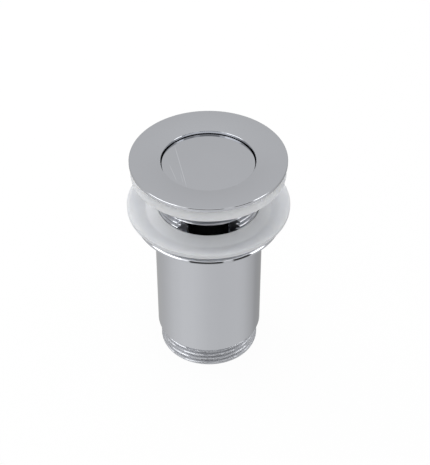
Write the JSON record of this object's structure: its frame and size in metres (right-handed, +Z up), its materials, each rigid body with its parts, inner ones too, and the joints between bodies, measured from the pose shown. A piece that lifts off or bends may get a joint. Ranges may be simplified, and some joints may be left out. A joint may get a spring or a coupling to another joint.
{
  "type": "pop up basin waste",
  "caption": "Slotted pop up basin waste: round chromed flange with a push-push plug, threaded neck with overflow slots, soft dished washers and a long screwed tube with a trap thread.",
  "frame": {"origin": "centre of the tail's end face, on the axis, where the waste stands", "axes": "+Z up the axis from the tail to the flange; the overflow slots face -Y and +Y"},
  "size_m": [0.0664, 0.0664, 0.0975],
  "materials": {
    "chrome": "polished chrome plate on brass",
    "clear_washer": "soft translucent polythene",
    "black_acetal": "moulded black acetal",
    "white_acetal": "moulded natural acetal",
    "steel": "plain stainless steel",
    "brass": "turned brass",
    "rubber": "black rubber"
  },
  "bodies": {
    "waste_body": {"flange_body": "chrome", "upper_washer": "clear_washer", "barrel": "black_acetal", "guide_bush": "black_acetal", "gland_cap": "black_acetal", "spindle_seal": "rubber", "hub_washer": "steel", "hub_nut": "brass", "return_spring": "steel"},
    "plug": {"plug_cap": "chrome", "seal_carrier": "black_acetal", "plug_o_ring": "rubber", "plug_washer": "steel", "lock_nut": "brass", "spindle": "steel", "spindle_clip": "steel", "spring_washer": "steel", "cam_sleeve": "white_acetal"},
    "cam_ring": {"cam_ring": "white_acetal", "follower_pins": "steel"},
    "lower_washer": {"lower_washer": "clear_washer"},
    "tube": {"tube_body": "chrome"}
  },
  "joints": [
    {"name": "plug_lift", "type": "slide", "parent": "waste_body", "child": "plug", "axis": [0, 0, 1], "range_m": [-0.0015, 0.009], "deforming": ["return_spring"]},
    {"name": "cam_ring_turn", "type": "hinge", "parent": "waste_body", "child": "cam_ring", "pos_m": [0, 0, 0.062], "axis": [0, 0, 1], "range_deg": [-8.2, 48.9]},
    {"name": "clamp_slide", "type": "slide", "parent": "waste_body", "child": "lower_washer", "axis": [0, 0, 1], "range_m": [-0.0231, 0.0139]},
    {"name": "tube_turn", "type": "hinge", "parent": "lower_washer", "child": "tube", "pos_m": [0, 0, 0.06935], "axis": [0, 0, 1], "range_deg": [-3600, 2160]}
  ],
  "couplings": [
    {"joint": "cam_ring_turn", "follows": "plug_lift", "rad_per_m": 94.746},
    {"joint": "clamp_slide", "follows": "tube_turn", "m_per_rad": 0.00036749}
  ]
}
